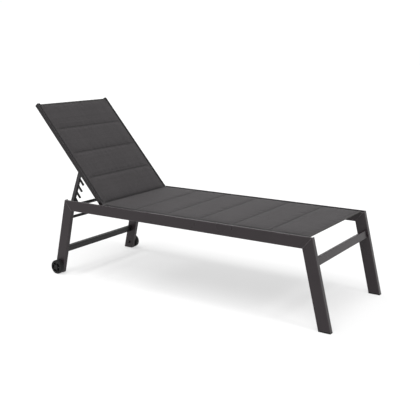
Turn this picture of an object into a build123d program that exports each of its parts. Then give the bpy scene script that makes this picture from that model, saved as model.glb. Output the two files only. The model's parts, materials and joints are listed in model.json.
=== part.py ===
from build123d import *
import os
from math import cos, radians, sin, tan

# Reclining sun lounger with a padded sling, in millimetres, +Z up, +X towards the foot end.
# The origin is on the ground, at the centre of the box around the lounger as it is drawn,
# with its backrest raised. "right" is the -Y side and "left" the +Y side.

os.makedirs("parts", exist_ok=True)

# ---------------------------------------------------------------- driving dimensions
base_width = 610.0  # over the outer faces of the two side rails
rail_top = 411.0  # height of the rails' lip above the ground
rail_length = 1432.0  # along the lip, outer corner to outer corner
rail_high = 55.0
rail_wide = 25.0
leg_wide = 57.0  # a leg's broad side
splay = 13.5  # every leg leans outwards by this angle
wall = 2.0
corner_radius = 3.0
ground_gap = 4.4  # the head legs stop short of the ground, on their wheels
foot_cap_high = 8.0
spigot_high = 18.0  # a cap's or plug's grip inside the leg

lip_wide = 8.0  # outer lip of a side rail, beside the sling
lip_deep = 5.0  # the sling lies this far below the lip
slot_wide = 2.4  # mouth of the channel that holds the sling's edge
keder_radius = 3.3
keder_room = 0.4  # play around the cord in its channel
cavity_high = 34.0  # hollow of the side rail, below the sling's channel
spreader_places = (330.0, 860.0, 1275.0)  # spreader tubes, from the head end
spreader_level = 378.0

recline = 48.75  # backrest's angle above the horizontal, as drawn
pivot_in = 235.0  # hinge pin, from the head end of the side rails
pivot_high = 397.0
back_width = 547.7
back_tip = 667.0  # hinge pin to the tip of the backrest
back_deep = 22.0
back_wide = 20.0
back_tail = 13.0  # the backrest's rails reach this far past the hinge pin
back_lip_wide = 5.5
back_lip_deep = 4.0
back_slot_wide = 2.0
back_keder_radius = 2.4

rack_lean = 21.0  # rack arms, from the vertical, as drawn
rack_pin_along = 238.0  # hinge pin to rack pin, along the backrest
rack_pin_below = 13.0  # rack pin below the backrest's centre line
rack_reach = 289.0  # rack pin to the link rod at the arms' lower ends
arm_wide = 20.0
arm_thick = 12.0
tooth_pitch = 37.7
tooth_thick = 9.5
support_in = 17.0  # support bar, from the head end of the side rails
support_high = 374.0
support_radius = 9.0

wheel_radius = 37.5
wheel_wide = 24.0
bolt_radius = 4.0
hinge_depth = 10.0  # the hinge bolt's end goes this deep into the side rail
running_gap = 0.05  # radial gap between a turning part and its pin
side_gap = 0.3  # gap between two faces that turn past each other

sling_start = 19.0  # seat sling's upper edge, from the hinge pin
sling_end = 1414.0  # seat sling's foot edge, from the head end
pad_thick = 8.5
back_sling_start = 12.0
back_sling_end = 661.0
border_thick = 2.0

# ---------------------------------------------------------------- worked-out places
lean = radians(splay)
tilt = radians(recline)
half_width = base_width / 2
rail_y = half_width - rail_wide / 2
rail_inner = half_width - rail_wide
reach_head = pivot_in - back_tip * cos(tilt) - back_deep / 2 * sin(tilt)
reach_foot = rail_length + rail_top * tan(lean)
head_x = -(reach_head + reach_foot) / 2
foot_x = head_x + rail_length
pivot_x = head_x + pivot_in
mitre_in = leg_wide / cos(lean) - rail_high * tan(lean)
leg_half = leg_wide / 2 / cos(lean)
shoulder_z = rail_top - lip_deep
slot_y = half_width - lip_wide - slot_wide / 2
keder_z = shoulder_z - 7.5

# The rail meets each leg on a mitre, from the outer corner to the inner one.
head_mitre = Plane(origin=(head_x, 0, rail_top), z_dir=(rail_high, 0, mitre_in))
foot_mitre = Plane(origin=(foot_x, 0, rail_top), z_dir=(-rail_high, 0, mitre_in))


def finish(piece, name):
    """Name a finished piece and write it."""
    piece.part.label = name
    export_step(piece.part, f"parts/{name}.step")


def finish_pair(piece, name):
    """Write a right-hand piece and its mirror image on the left."""
    finish(piece, name + "_right")
    with BuildPart() as twin:
        mirror(piece.part, about=Plane.XZ)
    finish(twin, name + "_left")


def along_y(x, z, start):
    """Plane facing -Y at a distance from the middle, centred on a point of the side view."""
    return Plane(origin=(x, -start, z), x_dir=(1, 0, 0), z_dir=(0, -1, 0))


# ---------------------------------------------------------------- side rails
with BuildPart() as side_rail:
    with BuildSketch(Plane.YZ.offset(head_x - rail_high)):
        with Locations((-rail_y, rail_top - rail_high / 2)):
            RectangleRounded(rail_wide, rail_high, corner_radius)
        with Locations((-rail_inner - (rail_wide - lip_wide) / 2, rail_top - lip_deep / 2)):
            Rectangle(rail_wide - lip_wide, lip_deep, mode=Mode.SUBTRACT)
        with Locations((-slot_y, keder_z)):
            Circle(keder_radius + keder_room, mode=Mode.SUBTRACT)
        with Locations((-slot_y, (shoulder_z + keder_z) / 2)):
            Rectangle(slot_wide, shoulder_z - keder_z, mode=Mode.SUBTRACT)
        with Locations((-rail_y, rail_top - rail_high + wall + cavity_high / 2)):
            RectangleRounded(rail_wide - 2 * wall, cavity_high, corner_radius - 1, mode=Mode.SUBTRACT)
    extrude(amount=rail_length + 2 * rail_high)
    split(bisect_by=head_mitre, keep=Keep.TOP)
    split(bisect_by=foot_mitre, keep=Keep.TOP)
    # blind hole for the hinge bolt, in the solid metal under the sling channel
    with BuildSketch(along_y(pivot_x, pivot_high, rail_inner)):
        Circle(bolt_radius)
    extrude(amount=hinge_depth, mode=Mode.SUBTRACT)
    # screw holes for the spreader brackets
    bracket_xs = [head_x + along for along in spreader_places]
    screw_offset = 21.0
    screw_radius = 2.5
    for bracket_x in bracket_xs:
        for side in (-1, 1):
            with BuildSketch(along_y(bracket_x + side * screw_offset, spreader_level, rail_inner)):
                Circle(screw_radius)
            extrude(amount=wall, mode=Mode.SUBTRACT)
finish_pair(side_rail, "side_rail")


# ---------------------------------------------------------------- legs
def leg_plane(top_x, slope):
    """Plane across a leg at its top: local z down the leg, local y towards the foot end."""
    return Plane(
        origin=(top_x, -rail_y, rail_top),
        x_dir=(0, 1, 0),
        z_dir=(sin(slope), 0, -cos(slope)),
    )


head_leg_plane = leg_plane(head_x + leg_half, -lean)
foot_leg_plane = leg_plane(foot_x - leg_half, lean)
leg_run = rail_top / cos(lean) + leg_wide
axle_z = wheel_radius
axle_x = head_x + leg_half - (rail_top - axle_z) * tan(lean)

with BuildPart() as head_leg:
    with BuildSketch(head_leg_plane.offset(-leg_wide)):
        RectangleRounded(rail_wide, leg_wide, corner_radius)
        RectangleRounded(rail_wide - 2 * wall, leg_wide - 2 * wall, 1.5, mode=Mode.SUBTRACT)
    extrude(amount=leg_run + leg_wide)
    split(bisect_by=head_mitre, keep=Keep.BOTTOM)
    split(bisect_by=Plane.XY.offset(ground_gap), keep=Keep.TOP)
    with BuildSketch(along_y(axle_x, axle_z, rail_inner)):
        Circle(bolt_radius)
    extrude(amount=rail_wide, mode=Mode.SUBTRACT)
finish_pair(head_leg, "head_leg")

with BuildPart() as foot_leg:
    with BuildSketch(foot_leg_plane.offset(-leg_wide)):
        RectangleRounded(rail_wide, leg_wide, corner_radius)
        RectangleRounded(rail_wide - 2 * wall, leg_wide - 2 * wall, 1.5, mode=Mode.SUBTRACT)
    extrude(amount=leg_run + leg_wide)
    split(bisect_by=foot_mitre, keep=Keep.BOTTOM)
    split(bisect_by=Plane.XY.offset(foot_cap_high), keep=Keep.TOP)
finish_pair(foot_leg, "foot_leg")

# moulded cap under each foot leg, with a spigot that fills the tube
with BuildPart() as foot_cap:
    with BuildSketch(foot_leg_plane):
        RectangleRounded(rail_wide, leg_wide, corner_radius)
    extrude(amount=leg_run)
    split(bisect_by=Plane.XY.offset(foot_cap_high), keep=Keep.BOTTOM)
    split(bisect_by=Plane.XY, keep=Keep.TOP)
    with BuildSketch(foot_leg_plane):
        RectangleRounded(rail_wide - 2 * wall - 0.4, leg_wide - 2 * wall - 0.4, 1.2)
    extrude(amount=leg_run)
    split(bisect_by=Plane.XY.offset(foot_cap_high + spigot_high), keep=Keep.BOTTOM)
    split(bisect_by=Plane.XY, keep=Keep.TOP)
finish_pair(foot_cap, "foot_cap")

# plug that closes the lower end of each head leg, below the axle bolt
with BuildPart() as head_leg_plug:
    with BuildSketch(head_leg_plane):
        RectangleRounded(rail_wide - 2 * wall - 0.2, leg_wide - 2 * wall - 0.2, 1.2)
    extrude(amount=leg_run)
    split(bisect_by=Plane.XY.offset(ground_gap + spigot_high - 2), keep=Keep.BOTTOM)
    split(bisect_by=Plane.XY.offset(ground_gap), keep=Keep.TOP)
finish_pair(head_leg_plug, "head_leg_plug")


# ---------------------------------------------------------------- cross members of the base
beam_thick = 20.0
beam_set_in = 8.5
tube_wall = 1.5


def cross_beam(plane, height, high, name):
    """Flat tube between the legs' inner faces, set in from their outer edges."""
    side = 1 if plane.z_dir.X > 0 else -1
    down = (rail_top - height) / cos(lean)
    with BuildPart() as beam:
        across = leg_wide / 2 - beam_set_in - beam_thick / 2
        mid = plane.from_local_coords((0, side * across, down))
        section = Plane(
            origin=(mid.X, -rail_inner, mid.Z),
            x_dir=(cos(lean), 0, side * sin(lean)),
            z_dir=(0, 1, 0),
        )
        with BuildSketch(section):
            RectangleRounded(beam_thick, high, 2.5)
            hollow = (beam_thick - 2 * tube_wall, high - 2 * tube_wall)
            RectangleRounded(*hollow, 1.2, mode=Mode.SUBTRACT)
        extrude(amount=2 * rail_inner)
    finish(beam, name)


cross_beam(head_leg_plane, 124.5, 33.0, "head_cross_beam")
cross_beam(foot_leg_plane, 296.0, 36.0, "foot_cross_beam")

with BuildPart() as rack_support_bar:
    with BuildSketch(along_y(head_x + support_in, support_high, -rail_inner)):
        Circle(support_radius)
        Circle(support_radius - tube_wall, mode=Mode.SUBTRACT)
    extrude(amount=2 * rail_inner)
finish(rack_support_bar, "rack_support_bar")

# spreader tubes hold the rails apart against the sling's pull
bracket_thick = 3.0
bracket_long = 56.0
bracket_high = 22.0
spreader_wide = 30.0
spreader_high = 15.0
for place, bracket_x in zip(("head", "middle", "foot"), bracket_xs):
    with BuildPart() as spreader:
        with BuildSketch(along_y(bracket_x, spreader_level, bracket_thick - rail_inner)):
            RectangleRounded(spreader_wide, spreader_high, 7.0)
            hollow = (spreader_wide - 2 * tube_wall, spreader_high - 2 * tube_wall)
            RectangleRounded(*hollow, 5.5, mode=Mode.SUBTRACT)
        extrude(amount=2 * (rail_inner - bracket_thick))
    finish(spreader, "seat_spreader_" + place)

with BuildPart() as brackets:
    for bracket_x in bracket_xs:
        with BuildSketch(along_y(bracket_x, spreader_level, rail_inner - bracket_thick)):
            RectangleRounded(bracket_long, bracket_high, 4)
            with Locations((-screw_offset, 0), (screw_offset, 0)):
                Circle(screw_radius, mode=Mode.SUBTRACT)
        extrude(amount=bracket_thick)
    mirror(about=Plane.XZ)
finish(brackets, "spreader_brackets")

screw_head = 2.5
screw_head_radius = 4.6
with BuildPart() as screws:
    for bracket_x in bracket_xs:
        for side in (-1, 1):
            screw_x = bracket_x + side * screw_offset
            with BuildSketch(along_y(screw_x, spreader_level, rail_inner - bracket_thick)):
                Circle(screw_radius)
            extrude(amount=bracket_thick + wall + 3)
            with BuildSketch(along_y(screw_x, spreader_level, rail_inner - bracket_thick - screw_head)):
                Circle(screw_head_radius)
            extrude(amount=screw_head)
    mirror(about=Plane.XZ)
finish(screws, "spreader_screws")

# ---------------------------------------------------------------- hinge hardware
back_outer = back_width / 2
back_inner = back_outer - back_wide

with BuildPart() as hinge_spacer:
    with BuildSketch(along_y(pivot_x, pivot_high, back_outer + side_gap)):
        Circle(9)
        Circle(bolt_radius, mode=Mode.SUBTRACT)
    extrude(amount=rail_inner - back_outer - side_gap)
    mirror(about=Plane.XZ)
finish(hinge_spacer, "hinge_spacers")

hinge_head = 5.0
with BuildPart() as hinge_bolt:
    with BuildSketch(along_y(pivot_x, pivot_high, back_inner - side_gap)):
        Circle(bolt_radius)
    extrude(amount=rail_inner - back_inner + side_gap + hinge_depth)
    with BuildSketch(along_y(pivot_x, pivot_high, back_inner - side_gap - hinge_head)):
        RegularPolygon(6.5, 6, major_radius=False)
    extrude(amount=hinge_head)
finish_pair(hinge_bolt, "hinge_bolt")

# ---------------------------------------------------------------- backrest frame
# Local x runs up the backrest from the hinge pin, local z out of its front face.
up_back = (-cos(tilt), 0, sin(tilt))
back_plane = Plane(origin=(pivot_x, 0, pivot_high), x_dir=up_back, z_dir=(sin(tilt), 0, cos(tilt)))


def across_back(along):
    """Plane across the backrest: local x towards -Y, local y out of the front face."""
    centre = back_plane.from_local_coords((along, 0, 0))
    return Plane(origin=(centre.X, 0, centre.Z), x_dir=(0, -1, 0), z_dir=up_back)


def on_back_side(along, height, start):
    """Plane facing -Y at a point of the backrest given along it and out from it."""
    centre = back_plane.from_local_coords((along, 0, height))
    return Plane(origin=(centre.X, -start, centre.Z), x_dir=up_back, z_dir=(0, -1, 0))


back_y = back_outer - back_wide / 2
back_shoulder = back_deep / 2 - back_lip_deep
back_slot_y = back_outer - back_lip_wide - back_slot_wide / 2
back_keder_h = back_shoulder - 4.0
cap_long = 6.0
cap_spigot = 12.0
back_cavity_high = 7.6
back_cavity_drop = 5.2  # middle of the hollow, below the rail's centre line

with BuildPart() as back_rail:
    with BuildSketch(across_back(-back_tail)):
        with Locations((back_y, 0)):
            RectangleRounded(back_wide, back_deep, 2.5)
        step = back_wide - back_lip_wide
        with Locations((back_inner + step / 2, back_deep / 2 - back_lip_deep / 2)):
            Rectangle(step, back_lip_deep, mode=Mode.SUBTRACT)
        with Locations((back_slot_y, back_keder_h)):
            Circle(back_keder_radius + 0.3, mode=Mode.SUBTRACT)
        with Locations((back_slot_y, (back_shoulder + back_keder_h) / 2)):
            slot_deep = back_shoulder - back_keder_h
            Rectangle(back_slot_wide, slot_deep, mode=Mode.SUBTRACT)
        with Locations((back_y, -back_cavity_drop)):
            RectangleRounded(back_wide - 2 * wall, back_cavity_high, 1.5, mode=Mode.SUBTRACT)
    extrude(amount=back_tip - cap_long + back_tail)
    with BuildSketch(on_back_side(0, 0, back_inner)):
        Circle(bolt_radius + running_gap)
    extrude(amount=back_wide, mode=Mode.SUBTRACT)
finish_pair(back_rail, "back_rail")

with BuildPart() as back_cap:
    with BuildSketch(across_back(back_tip - cap_long)):
        with Locations((back_y, 0)):
            RectangleRounded(back_wide, back_deep, 2.5)
    extrude(amount=cap_long)
    with BuildSketch(across_back(back_tip - cap_long - cap_spigot)):
        with Locations((back_y, -back_cavity_drop)):
            RectangleRounded(back_wide - 2 * wall - 0.4, back_cavity_high - 0.4, 1.2)
    extrude(amount=cap_spigot)
finish_pair(back_cap, "back_cap")

tail_cap_long = 2.5
with BuildPart() as tail_cap:
    with BuildSketch(across_back(-back_tail - tail_cap_long)):
        with Locations((back_y, -1.2)):
            RectangleRounded(back_wide - 1, back_deep - 4, 2.0)
    extrude(amount=tail_cap_long)
finish_pair(tail_cap, "back_tail_cap")

bar_deep = 10.0
bar_wide = 24.0
for place, along in (("bottom", 22.0), ("middle", 188.0), ("top", 642.0)):
    with BuildPart() as bar:
        with BuildSketch(on_back_side(along, -back_deep / 2 + bar_deep / 2, -back_inner)):
            RectangleRounded(bar_wide, bar_deep, 4.5)
            hollow = (bar_wide - 2 * tube_wall, bar_deep - 2 * tube_wall)
            RectangleRounded(*hollow, 3.0, mode=Mode.SUBTRACT)
        extrude(amount=2 * back_inner)
    finish(bar, "back_bar_" + place)

# ---------------------------------------------------------------- rack: arms, teeth, link rod
rack_slope = radians(rack_lean)
rack_pin = back_plane.from_local_coords((rack_pin_along, 0, -rack_pin_below))
arm_outer = back_inner - 3.85
arm_inner = arm_outer - arm_thick
cheek = 3.0
eye_radius = 9.0  # rounded end of the bracket's cheeks, around the pin
web_thick = 2.4
web_long = 30.0

with BuildPart() as rack_bracket:
    for start in (arm_outer + side_gap, arm_inner - side_gap - cheek):
        thick = back_inner - arm_outer - side_gap if start > arm_outer else cheek
        with BuildSketch(on_back_side(rack_pin_along, -rack_pin_below, start)):
            Circle(eye_radius)
            with Locations((0, -rack_pin_below / 2)):
                Rectangle(2 * eye_radius, rack_pin_below)
            Circle(bolt_radius, mode=Mode.SUBTRACT)
        extrude(amount=thick)
    web = Plane(
        origin=back_plane.from_local_coords((rack_pin_along, 0, -web_thick)),
        x_dir=up_back,
        z_dir=back_plane.z_dir,
    )
    web_inner = arm_inner - side_gap - cheek
    with BuildSketch(web):
        with Locations((0, (back_inner + web_inner) / 2)):
            Rectangle(web_long, back_inner - web_inner)
    extrude(amount=web_thick)
finish_pair(rack_bracket, "rack_bracket")

pin_head = 3.0
pin_head_radius = 6.5
with BuildPart() as rack_pivot_pin:
    with BuildSketch(on_back_side(rack_pin_along, -rack_pin_below, web_inner)):
        Circle(bolt_radius)
    extrude(amount=back_inner - web_inner)
    with BuildSketch(on_back_side(rack_pin_along, -rack_pin_below, web_inner - pin_head)):
        Circle(pin_head_radius)
    extrude(amount=pin_head)
finish_pair(rack_pivot_pin, "rack_pivot_pin")


def on_arm(start):
    """Plane facing -Y at the rack pin: local x down the arm, local y out over the teeth."""
    down_arm = (-sin(rack_slope), 0, -cos(rack_slope))
    return Plane(origin=(rack_pin.X, -start, rack_pin.Z), x_dir=down_arm, z_dir=(0, -1, 0))


rod_radius = 8.0

with BuildPart() as rack_arm:
    with BuildSketch(on_arm(arm_inner)):
        with Locations((rack_reach / 2, 0)):
            SlotCenterToCenter(rack_reach, arm_wide)
        Circle(bolt_radius + running_gap, mode=Mode.SUBTRACT)
        with Locations((rack_reach, 0)):
            Circle(rod_radius - 2, mode=Mode.SUBTRACT)
    extrude(amount=arm_thick)
    fillet(rack_arm.edges().filter_by(GeomType.LINE).filter_by(Axis.Y, reverse=True), 1.5)
finish_pair(rack_arm, "rack_arm")

# Toothed comb on the foot side of each arm: hooks that point down and outwards, and below
# them the shoulder that stands over the support bar. All places are measured down the arm
# from the rack pin, and out from the arm's centre line.
comb_thick = 7.0
spine_wide = 3.5
hook_root = Vector(51.0, 12.0)
hook_tip = Vector(67.5, 40.0)
spine_middle = 118.0
spine_long = 146.0
shoulder_out = 31.0  # the shoulder's top, out from the arm's centre line
arm_edge = arm_wide / 2
with BuildPart() as rack_comb:
    with BuildSketch(on_arm((arm_outer + arm_inner - comb_thick) / 2)):
        with Locations((spine_middle, arm_edge + spine_wide / 2)):
            Rectangle(spine_long, spine_wide)
        for hook in range(3):
            drop = Vector(hook * tooth_pitch, 0)
            SlotCenterPoint((hook_root + hook_tip) * 0.5 + drop, hook_tip + drop, tooth_thick)
        with BuildLine():
            top = [(170, shoulder_out), (181, shoulder_out)]
            Polyline((156, arm_edge), *top, (194, arm_edge), close=True)
        make_face()
        # nothing of the comb inside the arm
        with Locations((rack_reach / 2, 0)):
            Rectangle(rack_reach, 2 * arm_edge, mode=Mode.SUBTRACT)
    extrude(amount=comb_thick)
finish_pair(rack_comb, "rack_comb")

with BuildPart() as rack_link_rod:
    with BuildSketch(on_arm(-arm_inner)):
        with Locations((rack_reach, 0)):
            Circle(rod_radius)
            Circle(rod_radius - tube_wall, mode=Mode.SUBTRACT)
    extrude(amount=2 * arm_inner)
finish(rack_link_rod, "rack_link_rod")

# screws that hold the link rod's ends to the arms
with BuildPart() as rack_rod_screws:
    with BuildSketch(on_arm(arm_inner)):
        with Locations((rack_reach, 0)):
            Circle(rod_radius - 2)
    extrude(amount=arm_thick)
    with BuildSketch(on_arm(arm_outer)):
        with Locations((rack_reach, 0)):
            Circle(7.5)
    extrude(amount=2.5)
    fillet(rack_rod_screws.edges().sort_by(Axis.Y)[0], 1.5)
    mirror(about=Plane.XZ)
finish(rack_rod_screws, "rack_rod_screws")

# ---------------------------------------------------------------- sling and its edge cords
rail_gap = 0.3
sling_x = pivot_x + sling_start
sling_long = head_x + sling_end - sling_x
pad_top = shoulder_z + rail_gap + border_thick
with BuildPart() as seat_sling:
    with BuildSketch(Plane.YZ.offset(sling_x)):
        with Locations((0, pad_top + 0.7 - pad_thick / 2)):
            Rectangle(2 * (rail_inner - rail_gap), pad_thick)
        with Locations((0, pad_top - border_thick / 2)):
            Rectangle(2 * (slot_y + slot_wide / 2), border_thick)
    extrude(amount=sling_long)
finish(seat_sling, "seat_sling")

with BuildPart() as seat_keder:
    with BuildSketch(Plane.YZ.offset(sling_x)):
        with Locations((-slot_y, keder_z)):
            Circle(keder_radius)
        with Locations((-slot_y, (keder_z + shoulder_z) / 2)):
            Rectangle(1.0, shoulder_z - keder_z)
    extrude(amount=sling_long)
finish_pair(seat_keder, "seat_keder")

back_sling_long = back_sling_end - back_sling_start
back_pad_top = back_shoulder + rail_gap + border_thick
with BuildPart() as back_sling:
    with BuildSketch(across_back(back_sling_start)):
        with Locations((0, back_pad_top - pad_thick / 2)):
            Rectangle(2 * (back_inner - rail_gap), pad_thick)
        with Locations((0, back_pad_top - border_thick / 2)):
            Rectangle(2 * (back_slot_y + back_slot_wide / 2), border_thick)
    extrude(amount=back_sling_long)
finish(back_sling, "back_sling")

with BuildPart() as back_keder:
    with BuildSketch(across_back(back_sling_start)):
        with Locations((back_slot_y, back_keder_h)):
            Circle(back_keder_radius)
        with Locations((back_slot_y, (back_keder_h + back_shoulder) / 2)):
            Rectangle(0.9, back_shoulder - back_keder_h)
    extrude(amount=back_sling_long)
finish_pair(back_keder, "back_keder")

# ---------------------------------------------------------------- wheels
washer_thick = 2.5
hub_start = half_width + washer_thick + side_gap
hub_radius = 12.5
hub_pocket = 5.5
rim_radius = 30.0
web_deep = 7.0
bush_radius = 6.5
axle_head = 4.2


def at_axle(start):
    return along_y(axle_x, axle_z, start)


with BuildPart() as axle_washer:
    with BuildSketch(at_axle(half_width)):
        Circle(9)
        Circle(bolt_radius, mode=Mode.SUBTRACT)
    extrude(amount=washer_thick)
    mirror(about=Plane.XZ)
finish(axle_washer, "axle_washers")

bolt_end = hub_start + wheel_wide - hub_pocket + side_gap
with BuildPart() as axle_bolt:
    with BuildSketch(at_axle(rail_inner - 9)):
        Circle(bolt_radius)
    extrude(amount=bolt_end - rail_inner + 9)
    with BuildSketch(at_axle(bolt_end)):
        Circle(8)
    extrude(amount=axle_head)
    fillet(axle_bolt.edges().sort_by(Axis.Y)[0], 1.5)
finish_pair(axle_bolt, "axle_bolt")

with BuildPart() as axle_nut:
    with BuildSketch(at_axle(rail_inner - 7.5)):
        RegularPolygon(6.5, 6, major_radius=False)
        Circle(bolt_radius, mode=Mode.SUBTRACT)
    extrude(amount=7.5)
    mirror(about=Plane.XZ)
finish(axle_nut, "axle_nuts")

with BuildPart() as wheel_bush:
    with BuildSketch(at_axle(hub_start)):
        Circle(bush_radius)
        Circle(bolt_radius + running_gap, mode=Mode.SUBTRACT)
    extrude(amount=wheel_wide - hub_pocket)
finish_pair(wheel_bush, "wheel_bush")

with BuildPart() as wheel_rim:
    with BuildSketch(at_axle(hub_start)):
        Circle(rim_radius)
        Circle(bush_radius, mode=Mode.SUBTRACT)
    extrude(amount=wheel_wide)
    # dished outer and inner faces, crossed by five ribs
    for start in (hub_start, hub_start + wheel_wide - web_deep):
        with BuildSketch(at_axle(start)):
            Circle(rim_radius - 3.5)
            Circle(hub_radius, mode=Mode.SUBTRACT)
            with PolarLocations(rim_radius / 2, 5):
                Rectangle(rim_radius, 4, mode=Mode.SUBTRACT)
        extrude(amount=web_deep, mode=Mode.SUBTRACT)
    # pocket for the axle bolt's head
    with BuildSketch(at_axle(hub_start + wheel_wide - hub_pocket)):
        Circle(hub_radius - 3)
    extrude(amount=hub_pocket, mode=Mode.SUBTRACT)
finish_pair(wheel_rim, "wheel_rim")

with BuildPart() as wheel_tyre:
    with BuildSketch(at_axle(hub_start)):
        Circle(wheel_radius)
        Circle(rim_radius, mode=Mode.SUBTRACT)
    extrude(amount=wheel_wide)
    fillet(wheel_tyre.edges().filter_by(GeomType.CIRCLE).group_by(SortBy.RADIUS)[-1], 4.0)
finish_pair(wheel_tyre, "wheel_tyre")

with BuildPart() as wheel_cap:
    with BuildSketch(at_axle(hub_start + wheel_wide)):
        Circle(hub_radius)
    extrude(amount=3.5)
    fillet(wheel_cap.edges().sort_by(Axis.Y)[0], 2.5)
finish_pair(wheel_cap, "wheel_cap")
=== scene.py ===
import json
from math import cos, pi, radians, sin, tan

import bmesh
import bpy
import numpy as np
from mathutils import Matrix, Vector


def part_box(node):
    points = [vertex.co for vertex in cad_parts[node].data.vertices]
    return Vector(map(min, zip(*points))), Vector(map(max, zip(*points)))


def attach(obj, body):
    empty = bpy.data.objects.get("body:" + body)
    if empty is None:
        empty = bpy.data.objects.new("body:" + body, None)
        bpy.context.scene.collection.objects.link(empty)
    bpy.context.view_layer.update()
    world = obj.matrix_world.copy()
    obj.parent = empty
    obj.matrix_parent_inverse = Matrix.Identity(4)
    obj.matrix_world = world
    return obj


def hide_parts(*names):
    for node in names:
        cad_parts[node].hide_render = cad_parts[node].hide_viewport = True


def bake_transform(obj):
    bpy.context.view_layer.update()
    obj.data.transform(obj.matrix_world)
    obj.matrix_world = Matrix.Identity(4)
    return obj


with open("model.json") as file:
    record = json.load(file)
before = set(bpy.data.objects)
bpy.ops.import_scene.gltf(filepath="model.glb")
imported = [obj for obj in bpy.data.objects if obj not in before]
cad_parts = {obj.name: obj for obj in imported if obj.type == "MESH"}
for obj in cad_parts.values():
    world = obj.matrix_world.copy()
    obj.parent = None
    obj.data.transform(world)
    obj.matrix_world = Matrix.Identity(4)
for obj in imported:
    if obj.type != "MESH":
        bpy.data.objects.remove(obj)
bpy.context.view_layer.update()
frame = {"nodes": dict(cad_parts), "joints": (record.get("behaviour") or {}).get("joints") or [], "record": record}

# Looks of the reclining sun lounger, in metres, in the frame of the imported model:
# +X towards the foot end, +Z up, "right" is the -Y side.

rng = np.random.default_rng(17)

# ---------------------------------------------------------------- places from the frame
joint = {j["name"]: j for j in frame["joints"]}
pivot = Vector(joint["recline"]["pos_m"])
tilt = radians(-joint["recline"]["range_deg"][0])
up_back = Vector((-cos(tilt), 0, sin(tilt)))
out_back = Vector((sin(tilt), 0, cos(tilt)))

rail_low, rail_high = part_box("side_rail_right")
_, sling_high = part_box("seat_sling")
back_low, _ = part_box("back_rail_right")

LIP_WIDE = 0.008  # side rail's lip, outside the sling's slot
SLOT_HALF = 0.0012
LIP_DEEP = 0.005
BACK_LIP_WIDE = 0.0055
BACK_SLOT_HALF = 0.001
BACK_SHOULDER = 0.007  # backrest rail's shoulder, out from the hinge pin's line
LAY = 0.0013  # middle of the flat border, above the shoulder it lies on

seat_half = -rail_low.y - LIP_WIDE - SLOT_HALF
seat_level = rail_high.z - LIP_DEEP + LAY
foot_edge = sling_high.x
head_end = rail_low.x
back_half = -back_low.y - BACK_LIP_WIDE - BACK_SLOT_HALF
back_level = BACK_SHOULDER + LAY
BACK_TOP = 0.661  # the sling's upper edge, from the hinge pin
SEAT_LEAVES = 0.019  # the seat's edges leave the side rails this far from the hinge pin
BACK_HOLDS = 0.012  # and the backrest's rails hold them from here
SEAT_PAD_HALF = 0.281  # half width of the quilted part, on the seat and on the back
BACK_PAD_HALF = 0.253


# ---------------------------------------------------------------- the sling's path
class Path:
    """Side view of the sling's middle line: along the seat from its foot edge, then up the back."""

    radius = 0.009

    def __init__(self):
        along = (seat_level - pivot.z - back_level * cos(tilt)) / sin(tilt)
        corner = pivot + up_back * along + out_back * back_level
        run = self.radius * tan(tilt / 2)
        self.seat_long = foot_edge - corner.x - run
        self.bend_long = self.radius * tilt
        self.back_start = along + run
        self.long = self.from_back(BACK_TOP)
        self.centre = Vector((corner.x + run, 0, seat_level + self.radius))

    def at(self, s):
        """Point and normal at a distance from the foot edge."""
        if s <= self.seat_long:
            return Vector((foot_edge - s, 0, seat_level)), Vector((0, 0, 1))
        turned = s - self.seat_long
        if turned <= self.bend_long:
            turn = turned / self.radius
            normal = Vector((sin(turn), 0, cos(turn)))
            return self.centre - normal * self.radius, normal
        along = self.back_start + turned - self.bend_long
        return pivot + up_back * along + out_back * back_level, out_back.copy()

    def from_seat(self, x):
        return foot_edge - x

    def from_back(self, along):
        return self.seat_long + self.bend_long + along - self.back_start


path = Path()


def smooth(low, high, x):
    t = min(max((x - low) / (high - low), 0.0), 1.0)
    return t * t * (3 - 2 * t)


leaves_s = path.from_seat(pivot.x + SEAT_LEAVES)
holds_s = path.from_back(BACK_HOLDS)


def half_width(s):
    """The sling's half width: slot to slot on the seat, narrower between the backrest's rails."""
    return seat_half + (back_half - seat_half) * smooth(leaves_s - 0.004, holds_s + 0.002, s)


def pad_half(s):
    """Half width of the quilted part, inside the flat borders."""
    narrowed = smooth(leaves_s - 0.06, holds_s + 0.06, s)
    return SEAT_PAD_HALF + (BACK_PAD_HALF - SEAT_PAD_HALF) * narrowed


def held(s):
    """How far an edge is tucked into its slot: 1 in a rail, 0 where it crosses the hinge."""
    return 1 - smooth(leaves_s - 0.008, leaves_s, s) * (1 - smooth(holds_s, holds_s + 0.008, s))


HEM = 0.011  # stitch line of the two end hems, from the sling's ends
SEAT_SEAM_FIRST = 1.215  # seat seam nearest the foot, from the side rails' head end
SEAT_BAND = 0.189  # seat bands from seam to seam
BACK_SEAM_FIRST = 0.013  # lowest back seam, from the hinge pin
BACK_BAND = 0.16
seam_s = [HEM]
seam_s += [path.from_seat(head_end + SEAT_SEAM_FIRST - SEAT_BAND * n) for n in range(5)]
seam_s += [path.from_back(BACK_SEAM_FIRST + BACK_BAND * n) for n in range(4)]
seam_s += [path.long - HEM]
FOLD_SEAM = 6  # the one just above the hinge


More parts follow.
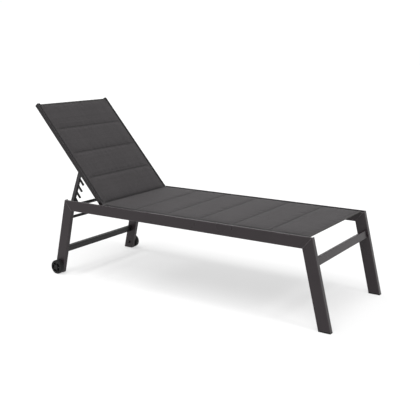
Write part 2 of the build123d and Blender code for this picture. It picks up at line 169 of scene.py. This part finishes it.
# ---------------------------------------------------------------- material kit
class Nodes:
    """Short way to write a node material."""

    def __init__(self, name, **shader):
        self.material = bpy.data.materials.new(name)
        self.material.use_nodes = True
        self.tree = self.material.node_tree
        self.bsdf = self.tree.nodes["Principled BSDF"]
        for socket, value in shader.items():
            self.bsdf.inputs[socket.replace("_", " ")].default_value = value

    def add(self, kind, **values):
        """New node; values are its properties or its sockets."""
        node = self.tree.nodes.new("ShaderNode" + kind)
        for key, value in values.items():
            if hasattr(node, key):
                setattr(node, key, value)
            else:
                node.inputs[key.replace("_", " ")].default_value = value
        return node

    def link(self, source, node, socket):
        out = source if isinstance(source, bpy.types.NodeSocket) else source.outputs[0]
        self.tree.links.new(out, node.inputs[socket])

    def math(self, operation, a, b=0.0, c=0.0):
        node = self.tree.nodes.new("ShaderNodeMath")
        node.operation = operation
        for n, value in enumerate((a, b, c)):
            if isinstance(value, (int, float)):
                node.inputs[n].default_value = value
            else:
                self.link(value, node, n)
        return node

    def noise(self, where, scale, detail=3.0, roughness=0.5):
        node = self.add("TexNoise", Scale=scale, Detail=detail, Roughness=roughness)
        self.link(where, node, "Vector")
        return node

    def ramp(self, source, low, high, start=0.0, stop=1.0):
        """Source from start to stop, mapped to low to high, held at its ends."""
        node = self.tree.nodes.new("ShaderNodeMapRange")
        for socket, value in (("From Min", start), ("From Max", stop), ("To Min", low), ("To Max", high)):
            node.inputs[socket].default_value = value
        self.link(source, node, "Value")
        return node

    def tint(self, factor, dark, light):
        """Colour between two colours."""
        node = self.tree.nodes.new("ShaderNodeMix")
        node.data_type = "RGBA"
        node.inputs["A"].default_value = (*dark, 1)
        node.inputs["B"].default_value = (*light, 1)
        self.link(factor, node, "Factor")
        return node.outputs["Result"]

    def bump(self, height, distance, strength=1.0, under=None):
        node = self.add("Bump", Strength=strength, Distance=distance)
        self.link(height, node, "Height")
        if under is not None:
            self.link(under, node, "Normal")
        return node

    def use(self, colour=None, rough=None, normal=None):
        for socket, source in (("Base Color", colour), ("Roughness", rough), ("Normal", normal)):
            if source is not None:
                self.link(source, self.bsdf, socket)
        return self.material


def grey(value, warm=0.0):
    return (value * (1 + warm), value, value * (1 - warm * 0.2))


def object_coords(kit):
    return kit.add("TexCoord").outputs["Object"]


def convex_edge_mask(kit, size):
    """0 on flat faces, rising towards 1 on convex edges, with the rounded normal."""
    rounded = kit.add("Bevel", samples=4, Radius=size)
    plain = kit.add("NewGeometry").outputs["Normal"]
    dot = kit.add("VectorMath", operation="DOT_PRODUCT")
    kit.link(rounded, dot, 0)
    kit.link(plain, dot, 1)
    return kit.ramp(dot.outputs["Value"], 1.0, 0.0, 0.86, 0.998), rounded


def powder_coat(name, base, worn_and_highlight, rough=0.30):
    """Satin powder coat: fine orange peel, faint mottling, and convex edges painted paler, partly rubbed wear and
    partly a painted highlight.
    """
    kit = Nodes(name, Metallic=0.0, Specular_IOR_Level=0.28)
    where = object_coords(kit)
    edge, rounded = convex_edge_mask(kit, 0.0028)
    mottle = kit.noise(where, 9.0, 4.0)
    speck = kit.noise(where, 1900.0, 1.0)
    patchy = kit.noise(where, 70.0, 3.0)
    # paler edges: partly rubbed wear, partly a painted highlight on the rounded edges
    wear_and_highlight_mask = kit.math("MULTIPLY", edge, kit.ramp(patchy, 0.55, 1.0, 0.38, 0.62))
    darker = [c * 0.93 for c in base]
    lighter = [c * 1.07 for c in base]
    body = kit.tint(kit.ramp(mottle, 0.0, 1.0, 0.35, 0.65), darker, lighter)
    mixed = kit.add("Mix", data_type="RGBA")
    kit.link(wear_and_highlight_mask, mixed, "Factor")
    kit.link(body, mixed, "A")
    mixed.inputs["B"].default_value = (*worn_and_highlight, 1)
    roughness = kit.ramp(mottle, rough - 0.04, rough + 0.05, 0.3, 0.7)
    peel = kit.bump(speck, 0.00012, 0.5, kit.bump(patchy, 0.0002, 0.12, rounded))
    return kit.use(mixed.outputs["Result"], roughness, peel)


def moulded(name, base, rough, grain=1400.0, depth=0.00008, scuff=1.35):
    """Moulded plastic or rubber: fine grain, and a slight scuff on its edges."""
    kit = Nodes(name, Specular_IOR_Level=0.22)
    where = object_coords(kit)
    edge, rounded = convex_edge_mask(kit, 0.0008)
    cloud = kit.noise(where, 45.0, 3.0)
    fine = kit.noise(where, grain, 2.0)
    mask = kit.math("MULTIPLY", edge, kit.ramp(cloud, 0.1, 0.8, 0.35, 0.65))
    colour = kit.tint(mask, base, [min(c * scuff + 0.01, 1) for c in base])
    roughness = kit.ramp(cloud, rough - 0.05, rough + 0.07, 0.3, 0.7)
    return kit.use(colour, roughness, kit.bump(fine, depth, 0.6, rounded))


def zinc(name):
    kit = Nodes(name, Metallic=1.0)
    where = object_coords(kit)
    _, rounded = convex_edge_mask(kit, 0.0006)
    cloud = kit.noise(where, 120.0, 4.0)
    scratch = kit.noise(where, 900.0, 2.0)
    colour = kit.tint(kit.ramp(cloud, 0.0, 1.0, 0.3, 0.7), (0.25, 0.25, 0.26), (0.42, 0.42, 0.43))
    return kit.use(colour, kit.ramp(cloud, 0.36, 0.52, 0.3, 0.7), kit.bump(scratch, 0.00005, 0.4, rounded))


def woven(name, thread, dark, light, sheen, strand=0.0016, depth=0.00035, with_painted_shade=False):
    """Plain-weave mesh from the flat-cut coordinates; the last flag adds painted shade, darkening it by the mesh's
    shade attribute.
    """
    kit = Nodes(name, Specular_IOR_Level=0.22, Sheen_Weight=sheen, Sheen_Roughness=0.5)
    kit.bsdf.inputs["Sheen Tint"].default_value = (0.75, 0.74, 0.76, 1)
    cut = kit.add("UVMap", uv_map="cut")
    parts = kit.add("SeparateXYZ")
    kit.link(cut, parts, 0)
    u = kit.math("MULTIPLY", parts.outputs["X"], 1 / strand)
    v = kit.math("MULTIPLY", parts.outputs["Y"], 1 / strand)
    # each strand is round across, and rises over every second crossing one
    across_u = kit.math("ABSOLUTE", kit.math("SINE", kit.math("MULTIPLY", u, pi)))
    across_v = kit.math("ABSOLUTE", kit.math("SINE", kit.math("MULTIPLY", v, pi)))
    turn = kit.math("PINGPONG", kit.math("ADD", kit.math("FLOOR", u), kit.math("FLOOR", v)), 1.0)
    over = kit.math("MULTIPLY", across_u, turn)
    under = kit.math("MULTIPLY", across_v, kit.math("SUBTRACT", 1.0, turn))
    height = kit.math("POWER", kit.math("ADD", over, under), 0.6)
    # every strand has its own shade
    strand_u = kit.add("TexWhiteNoise", noise_dimensions="1D")
    kit.link(kit.math("FLOOR", u), strand_u, "W")
    strand_v = kit.add("TexWhiteNoise", noise_dimensions="1D")
    kit.link(kit.math("ADD", kit.math("FLOOR", v), 531.7), strand_v, "W")
    shade = kit.math("ADD", kit.math("MULTIPLY", strand_u.outputs["Value"], turn),
                     kit.math("MULTIPLY", strand_v.outputs["Value"], kit.math("SUBTRACT", 1.0, turn)))
    cloud = kit.noise(cut, 5.0, 4.0)
    slub = kit.noise(cut, 260.0, 2.0)
    tone = kit.math("ADD", kit.math("MULTIPLY", shade, 0.45), kit.math("MULTIPLY", slub, 0.55))
    body = kit.tint(kit.ramp(tone, 0.0, 1.0, 0.25, 0.75), dark, light)
    gap = kit.add("Mix", data_type="RGBA")
    kit.link(kit.ramp(height, 0.0, 1.0, 0.15, 0.62), gap, "Factor")
    gap.inputs["A"].default_value = (*thread, 1)
    kit.link(body, gap, "B")
    cloudy = kit.add("Mix", data_type="RGBA", blend_type="MULTIPLY")
    cloudy.inputs["Factor"].default_value = 1.0
    kit.link(gap.outputs["Result"], cloudy, "A")
    kit.link(kit.tint(kit.ramp(cloud, 0.0, 1.0, 0.3, 0.7), grey(0.93), grey(1.05)), cloudy, "B")
    if with_painted_shade:
        # painted shade: the cloth beside the rails, in the sunk seams and at the fold is darkened from the mesh's
        # shade attribute
        painted_shade_mask = kit.add("Attribute", attribute_name="shade").outputs["Fac"]
        painted_shade_mix = kit.add("Mix", data_type="RGBA", blend_type="MULTIPLY")
        painted_shade_mix.inputs["Factor"].default_value = 1.0
        kit.link(cloudy.outputs["Result"], painted_shade_mix, "A")
        kit.link(kit.tint(painted_shade_mask, grey(1.0), grey(0.16)), painted_shade_mix, "B")
        cloudy = painted_shade_mix
    rough = kit.ramp(slub, 0.66, 0.82, 0.3, 0.7)
    normal = kit.bump(height, depth, 0.55, kit.bump(cloud, 0.001, 0.10))
    return kit.use(cloudy.outputs["Result"], rough, normal)


WEAVE_GAP = (0.0115, 0.0105, 0.0110)
WEAVE_DARK = (0.0305, 0.0280, 0.0292)
WEAVE_LIGHT = (0.048, 0.0440, 0.0458)
WEAVE_SHEEN = 0.02
PALE_EDGE_WEAR_AND_HIGHLIGHT = (0.150, 0.135, 0.142)  # charcoal coat on convex edges: paler from rubbed wear, and a painted highlight on the rounded edges
fabric = woven("sling_mesh_fabric", WEAVE_GAP, WEAVE_DARK, WEAVE_LIGHT, WEAVE_SHEEN, with_painted_shade=True)
binding = woven("sling_binding", grey(0.010, 0.05), grey(0.024, 0.07), grey(0.038, 0.07),
                WEAVE_SHEEN, strand=0.0013, depth=0.0002)
coat = powder_coat("charcoal_powder_coat", (0.0185, 0.0140, 0.0160), PALE_EDGE_WEAR_AND_HIGHLIGHT)
rack_coat = powder_coat("rack_powder_coat", (0.024, 0.022, 0.025), (0.05, 0.048, 0.052))
comb_plastic = moulded("rack_comb_plastic", grey(0.006), 0.38)
cord_plastic = moulded("keder_plastic", grey(0.028), 0.5)
cap_plastic = moulded("black_moulded_plastic", grey(0.006), 0.36)
tyre_rubber = moulded("soft_tyre_rubber", grey(0.006), 0.62, 700.0, 0.0002, 1.8)
steel = zinc("dull_zinc_steel")

slot_material = {
    "frame": coat, "rack": rack_coat, "comb": comb_plastic, "sling": fabric,
    "keder": cord_plastic, "plastic": cap_plastic, "tyre": tyre_rubber, "hardware": steel,
}
slot_of = {s["node"]: s["material_slot"] for s in frame["record"]["subparts"]}
back_coat = powder_coat("backrest_powder_coat", (0.0070, 0.0056, 0.0062), PALE_EDGE_WEAR_AND_HIGHLIGHT, 0.28)
black_coat = powder_coat("black_powder_coat", (0.0050, 0.0046, 0.0050), (0.016, 0.015, 0.016), 0.34)
BLACK_NODES = (
    "head_cross_beam", "rack_support_bar", "rack_link_rod", "seat_spreader",
    "back_bar", "spreader", "axle", "hinge",
)
for name, node in frame["nodes"].items():
    chosen = slot_material[slot_of[name]]
    if name.startswith(BLACK_NODES):
        chosen = black_coat
    elif name.startswith("back_rail"):
        chosen = back_coat
    node.data.materials.clear()
    node.data.materials.append(chosen)


# ---------------------------------------------------------------- mesh kit
def new_object(name, verts, faces, material, cut=None, shade=None):
    """Mesh object; cut gives each vertex's place on the flat cloth, shade how much painted shade darkens it."""
    mesh = bpy.data.meshes.new(name)
    mesh.from_pydata([tuple(v) for v in verts], [], faces)
    mesh.update()
    if cut is not None:
        layer = mesh.uv_layers.new(name="cut")
        order = np.zeros(len(mesh.loops), int)
        mesh.loops.foreach_get("vertex_index", order)
        layer.data.foreach_set("uv", np.asarray(cut, float)[order].astype(np.float32).ravel())
    if shade is not None:
        mask = mesh.attributes.new("shade", "FLOAT", "POINT")
        mask.data.foreach_set("value", np.asarray(shade, np.float32))
    mesh.polygons.foreach_set("use_smooth", [True] * len(mesh.polygons))
    mesh.materials.append(material)
    obj = bpy.data.objects.new(name, mesh)
    bpy.context.scene.collection.objects.link(obj)
    return obj


def applied(obj):
    """Put the modifiers' result into the object's own mesh."""
    bpy.context.view_layer.update()
    graph = bpy.context.evaluated_depsgraph_get()
    mesh = bpy.data.meshes.new_from_object(obj.evaluated_get(graph), depsgraph=graph)
    obj.modifiers.clear()
    obj.data = mesh
    return obj


def subdivided(obj, levels):
    modifier = obj.modifiers.new("subdivision", "SUBSURF")
    modifier.levels = modifier.render_levels = levels
    return applied(obj)


# ---------------------------------------------------------------- padded sling
STEP = 0.0095
BORDER_HALF = 0.0009  # half thickness of the flat border
SEAM_HALF = 0.0013
FOAM_HALF = 0.0038  # start of the foam, which the simulation then fills out
TUCK = 0.0045  # the edge goes this deep into its slot
SIM_STEPS = 20
SIM_CACHE_END = 22
PUFF_CAP = 0.0022  # the simulation moves no point further than this


def spaced(marks, step):
    """Numbers through every mark, evenly spaced between marks, about a step apart."""
    out = [marks[0]]
    for low, high in zip(marks, marks[1:]):
        count = max(1, round((high - low) / step))
        out += [low + (high - low) * n / count for n in range(1, count + 1)]
    return out


def stations():
    """Places along the sling, closer together at the seams and the fold."""
    marks = [0.0]
    for s in seam_s:
        marks += [s - 0.0062, s - 0.0022, s, s + 0.0022, s + 0.0062]
    marks += [path.long]
    return spaced(marks, STEP)


def seam_dip(s):
    """1 on a cross seam and in the end hems, falling to 0 beside them."""
    if not HEM < s < path.long - HEM:
        return 1.0
    return max(1 - smooth(0.0, 0.011, abs(s - seam)) for seam in seam_s)


rows = stations()
# across: fractions of the pad, then the border, then the tuck into the slot
pad_columns = spaced([-1.0, 1.0], STEP / 0.23)
border_columns = [0.12, 0.5, 0.88, 1.0]

outline = [("tuck", -1, 1.0)] + [("border", -1, f) for f in reversed(border_columns)]
outline += [("pad", 1, f) for f in pad_columns]
outline += [("border", 1, f) for f in border_columns] + [("tuck", 1, 1.0)]


def sling_point(s, column):
    """Place across, height over the middle line, half thickness and pinning of one column."""
    kind, side, f = column
    wide = half_width(s)
    pad = pad_half(s)
    tucked = held(s)
    if kind == "pad":
        y = f * pad
        edge = smooth(0.0, 0.045, pad - abs(y))
        fill = min(edge, 1 - seam_dip(s))
        pinned = 1.0 if abs(f) > 0.999 or min(abs(s - seam) for seam in seam_s) < 0.0023 else 0.0
        return y, 0.0, SEAM_HALF + (FOAM_HALF - SEAM_HALF) * fill, pinned
    if kind == "border":
        y = side * (pad + (wide - 0.0009 * tucked - pad) * f)
        return y, -0.0004 * tucked * (f > 0.95), BORDER_HALF, 1.0
    y = side * (wide + 0.0004 * (1 - tucked))
    return y, -TUCK * tucked, BORDER_HALF * (1 - 0.35 * (1 - tucked)), 1.0


def painted_cloth_shade(s, y, column):
    """0 on open cloth, up to 1 where painted shade darkens it: in the sunk seams, at the fold and where the cloth
    dives beside a rail.
    """
    wide = half_width(s)
    # painted shade in a band beside the rails, wider on the seat than on the back
    band = 0.024 if s < path.seat_long else 0.009
    rail_shade = 0.95 * (1 - smooth(band - 0.002, band + 0.002, wide - abs(y))) * held(s)
    across = smooth(0.0, 0.05, wide - abs(y))
    fold = abs(s - seam_s[FOLD_SEAM])
    seam_shade = max((1 - smooth(0.001, 0.006, abs(s - seam))) * 0.55 for seam in seam_s[1:-1])
    seam_shade = max(seam_shade, (1 - smooth(0.002, 0.010, fold)) * 0.85)
    return max(rail_shade, seam_shade * across)


def build_sling():
    verts, cut, pins, shade = [], [], [], []
    count = len(outline)
    for layer in (1, -1):
        for s in rows:
            place, normal = path.at(s)
            end_taper = smooth(-0.003, 0.004, min(s, path.long - s))
            for column in outline:
                y, height, half, pinned = sling_point(s, column)
                if column[0] == "tuck":
                    side = column[1]
                    inward = held(s)
                    y -= side * layer * half * inward * 0.9
                    lift = height + layer * half * (1 - inward)
                else:
                    lift = height + layer * half * end_taper
                verts.append(place + normal * lift + Vector((0, y, 0)))
                cut.append((s + 5, y + 5 + (layer < 0) * 0.0007))
                pins.append(pinned or (1.0 if min(s, path.long - s) < 0.012 else 0.0))
                shade.append(painted_cloth_shade(s, y, column))
    faces = []
    layer_size = len(rows) * count

    def at(layer, i, j):
        return layer * layer_size + i * count + j

    for i in range(len(rows) - 1):
        for j in range(count - 1):
            # rows run from foot to head, columns from right to left: top faces turn up
            faces.append((at(0, i, j), at(0, i, j + 1), at(0, i + 1, j + 1), at(0, i + 1, j)))
            faces.append((at(1, i, j), at(1, i + 1, j), at(1, i + 1, j + 1), at(1, i, j + 1)))
        for j, flip in ((0, False), (count - 1, True)):
            ring = (at(0, i, j), at(0, i + 1, j), at(1, i + 1, j), at(1, i, j))
            faces.append(ring[::-1] if flip else ring)
    for i, flip in ((0, True), (len(rows) - 1, False)):
        for j in range(count - 1):
            ring = (at(0, i, j), at(0, i, j + 1), at(1, i, j + 1), at(1, i, j))
            faces.append(ring[::-1] if flip else ring)
    return new_object("padded_sling", verts, faces, fabric, cut, shade), np.array(pins)


def inflate(obj, pins):
    """Fill the foam out: pressure inside the cloth, seams and borders held, travel capped."""
    rest = np.array([v.co for v in obj.data.vertices])
    free = pins < 0.5
    shake = np.zeros_like(rest)
    shake[free] = rng.normal(0, 0.00025, (int(free.sum()), 3))
    obj.data.vertices.foreach_set("co", (rest + shake).ravel())
    group = obj.vertex_groups.new(name="held")
    group.add([int(n) for n in np.nonzero(pins > 0.5)[0]], 1.0, "REPLACE")
    cloth = obj.modifiers.new("cloth", "CLOTH")
    settings = cloth.settings
    settings.quality = 5
    settings.mass = 0.25
    settings.tension_stiffness = settings.compression_stiffness = 22
    settings.shear_stiffness = 10
    settings.bending_stiffness = 0.35
    settings.vertex_group_mass = "held"
    settings.pin_stiffness = 1.0
    settings.use_pressure = True
    settings.uniform_pressure_force = 5.0
    settings.shrink_min = settings.shrink_max = -0.012
    settings.effector_weights.gravity = 0
    cloth.collision_settings.use_collision = False
    cloth.collision_settings.use_self_collision = False
    cloth.point_cache.frame_start = 1
    cloth.point_cache.frame_end = SIM_CACHE_END
    scene = bpy.context.scene
    scene.frame_start = 1
    scene.frame_end = SIM_CACHE_END
    for step in range(1, SIM_STEPS + 1):
        scene.frame_set(step)
    graph = bpy.context.evaluated_depsgraph_get()
    moved = obj.evaluated_get(graph)
    co = np.zeros(len(rest) * 3)
    moved.data.vertices.foreach_get("co", co)
    obj.modifiers.clear()
    obj.vertex_groups.clear()
    scene.frame_set(1)
    return rest, co.reshape(-1, 3) - rest


def capped(rest, travel, pins, cap):
    """Travel with a soft upper limit, and none on held points."""
    length = np.linalg.norm(travel, axis=1)
    scale = np.where(length > 1e-9, cap * np.tanh(length / cap) / np.maximum(length, 1e-9), 0)
    scale[pins > 0.5] = 0
    return rest + travel * scale[:, None]


sling, pins = build_sling()
rest, travel = inflate(sling, pins)
shape = capped(rest, travel, pins, PUFF_CAP)
sling.data.vertices.foreach_set("co", shape.ravel())
sling.data.update()
subdivided(sling, 1)


def over_hinge(obj):
    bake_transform(obj)


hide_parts("seat_sling", "back_sling")
over_hinge(sling)

# ---------------------------------------------------------------- stitches
THREAD = 0.00042
STITCH = 0.0042
STITCH_GAP = 0.0064


def stitch(verts, faces, start, end, normal):
    """One sunk stitch: a short thread that arches from hole to hole."""
    along = (end - start).normalized()
    side = along.cross(normal).normalized()
    first = len(verts)
    steps = ((0.0, -0.6, 0.55), (0.18, 0.55, 0.9), (0.5, 0.85, 1.0), (0.82, 0.55, 0.9), (1.0, -0.6, 0.55))
    for t, rise, thick in steps:
        middle = start.lerp(end, t) + normal * (rise * THREAD)
        for corner in range(5):
            angle = 2 * pi * corner / 5
            offset = side * cos(angle) + normal * sin(angle)
            verts.append(middle + offset * (THREAD * thick))
    for ring in range(len(steps) - 1):
        for corner in range(5):
            a = first + ring * 5 + corner
            b = first + ring * 5 + (corner + 1) % 5
            faces.append((a, b, b + 5, a + 5))
    faces.append(tuple(first + n for n in reversed(range(5))))
    last = first + 5 * (len(steps) - 1)
    faces.append(tuple(last + n for n in range(5)))


def stitch_rows():
    verts, faces = [], []
    for seam in seam_s:
        place, normal = path.at(seam)
        wide = pad_half(seam) - 0.004
        across = int(2 * wide / STITCH_GAP)
        for layer in (1, -1):
            for n in range(across):
                y = -wide + (n + 0.5) * 2 * wide / across
                spot = place + normal * (layer * SEAM_HALF) + Vector((0, y, 0))
                reach = Vector((0, STITCH / 2, 0))
                stitch(verts, faces, spot - reach, spot + reach, normal * layer)
    down = int(path.long / STITCH_GAP)
    for side in (-1, 1):
        for layer in (1, -1):
            for n in range(1, down - 1):
                s = (n + 0.5) * path.long / down
                place, normal = path.at(s)
                ahead, _ = path.at(s + STITCH / 2)
                behind, _ = path.at(s - STITCH / 2)
                across = Vector((0, side * (pad_half(s) + 0.0035), 0))
                lift = normal * (layer * BORDER_HALF)
                stitch(verts, faces, behind + across + lift, ahead + across + lift, normal * layer)
    return new_object("sling_stitches", verts, faces, thread)


def thread_material():
    kit = Nodes("stitch_thread", Specular_IOR_Level=0.4, Sheen_Weight=0.15)
    where = object_coords(kit)
    ply = kit.noise(where, 2600.0, 2.0)
    colour = kit.tint(kit.ramp(ply, 0.0, 1.0, 0.3, 0.7), grey(0.035), grey(0.075))
    return kit.use(colour, kit.ramp(ply, 0.5, 0.65), kit.bump(ply, 0.0001, 0.7))


thread = thread_material()
stitches = stitch_rows()
over_hinge(stitches)


# ---------------------------------------------------------------- hems
def hem(name, end_s, inward, body):
    """Binding folded over one end of the sling, with a slightly uneven soft edge."""
    wide = half_width(end_s) - 0.010
    count = 120
    section = [(0.0125, 0.0011), (0.0117, 0.0016), (0.006, 0.0018), (0.0010, 0.0017), (-0.0008, 0.0010)]
    ring = section + [(d, -h) for d, h in reversed(section)]
    verts, cut, faces = [], [], []
    for n in range(count + 1):
        y = -wide + 2 * wide * n / count
        wave = 0.0002 * sin(n * 0.9) + 0.00015 * sin(n * 2.3 + 1)
        squeeze = 0.75 if n in (0, count) else 1.0
        run = 0.0
        for k, (deep, height) in enumerate(ring):
            s = end_s + inward * deep
            place, normal = path.at(min(max(s, 0.0), path.long))
            beyond = s - min(max(s, 0.0), path.long)
            ahead = -up_tangent(end_s) if beyond < 0 else up_tangent(end_s)
            spot = place + ahead * abs(beyond) + normal * ((height + wave * (height > 0)) * squeeze)
            verts.append(spot + Vector((0, y, 0)))
            cut.append((y + 5, run + 5))
            run += 0.004
    size = len(ring)
    for n in range(count):
        for k in range(size):
            a = n * size + k
            b = n * size + (k + 1) % size
            faces.append((a, b, b + size, a + size) if inward > 0 else (a, a + size, b + size, b))
    first = tuple(range(size))
    last = tuple(count * size + k for k in range(size))
    faces += [first[::-1], last] if inward > 0 else [first, last[::-1]]
    piece = new_object(name, verts, faces, binding, cut)
    recalc(piece)
    subdivided(piece, 1)
    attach(piece, body)


def up_tangent(s):
    """Direction of growing s at one end of the path."""
    return Vector((-1, 0, 0)) if s < path.seat_long else up_back.copy()


def recalc(obj):
    """Make all faces look outwards."""
    mesh = bmesh.new()
    mesh.from_mesh(obj.data)
    bmesh.ops.recalc_face_normals(mesh, faces=mesh.faces)
    mesh.to_mesh(obj.data)
    mesh.free()


hem("foot_hem", 0.0, 1, "base")
hem("head_hem", path.long, -1, "backrest")


# ---------------------------------------------------------------- floor, light and camera
def stage_floor():
    size = 40.0
    floor_mesh = bpy.data.meshes.new("floor")
    corners = [(-size, -size, 0), (size, -size, 0), (size, size, 0), (-size, size, 0)]
    floor_mesh.from_pydata(corners, [], [(0, 1, 2, 3)])
    piece = bpy.data.objects.new("floor", floor_mesh)
    bpy.context.scene.collection.objects.link(piece)
    kit = Nodes("plain_pale_floor", Specular_IOR_Level=0.1, Emission_Strength=0.55)
    kit.bsdf.inputs["Emission Color"].default_value = (1, 1, 1, 1)
    where = object_coords(kit)
    cloud = kit.noise(where, 0.8, 2.0)
    colour = kit.tint(cloud, grey(0.32), grey(0.34))
    piece.data.materials.append(kit.use(colour, kit.ramp(cloud, 0.85, 0.9)))


stage_floor()

world = bpy.data.worlds.new("studio")
bpy.context.scene.world = world
world.use_nodes = True
sky = world.node_tree
background = sky.nodes["Background"]
direction = sky.nodes.new("ShaderNodeTexCoord")
height = sky.nodes.new("ShaderNodeSeparateXYZ")
fade = sky.nodes.new("ShaderNodeMapRange")
# bright round the horizon, dimmer overhead
for socket, value in (("From Min", 0.52), ("From Max", 0.80), ("To Min", 1.02), ("To Max", 0.45)):
    fade.inputs[socket].default_value = value
sky.links.new(direction.outputs["Generated"], height.inputs[0])
sky.links.new(height.outputs["Z"], fade.inputs["Value"])
sky.links.new(fade.outputs["Result"], background.inputs["Color"])
background.inputs["Strength"].default_value = 1.0


def sunlight(name, energy, spread, towards):
    """Distant soft lamp in the direction towards, seen from the lounger."""
    light = bpy.data.lights.new(name, "SUN")
    light.energy = energy
    light.angle = radians(spread)
    lamp = bpy.data.objects.new(name, light)
    lamp.rotation_euler = Vector(towards).to_track_quat("Z", "Y").to_euler()
    bpy.context.scene.collection.objects.link(lamp)


sunlight("overhead_softbox", 2.0, 40, (0.0, -0.42, 0.9))
sunlight("head_end_strip", 1.0, 13, (-0.54, 0.0, 0.81))
sunlight("foot_end_strip", 0.8, 13, (0.55, -0.1, 0.80))

EYE = Vector((2.00897, -2.94688, 1.18843))
YAW, PITCH, ROLL = radians(33.484), radians(12.806), radians(-0.243)
LENS = 61.06
back = Vector((sin(YAW) * cos(PITCH), -cos(YAW) * cos(PITCH), sin(PITCH)))
right = (-back).cross(Vector((0, 0, 1))).normalized()
up = right.cross(-back)
right, up = right * cos(ROLL) + up * sin(ROLL), up * cos(ROLL) - right * sin(ROLL)
camera_data = bpy.data.cameras.new("camera")
camera_data.sensor_width = 36
camera_data.lens = LENS
camera = bpy.data.objects.new("camera", camera_data)
camera.matrix_world = Matrix((
    (right.x, up.x, back.x, EYE.x),
    (right.y, up.y, back.y, EYE.y),
    (right.z, up.z, back.z, EYE.z),
    (0, 0, 0, 1),
))
bpy.context.scene.collection.objects.link(camera)
bpy.context.scene.camera = camera
bpy.context.scene.view_settings.view_transform = "Standard"
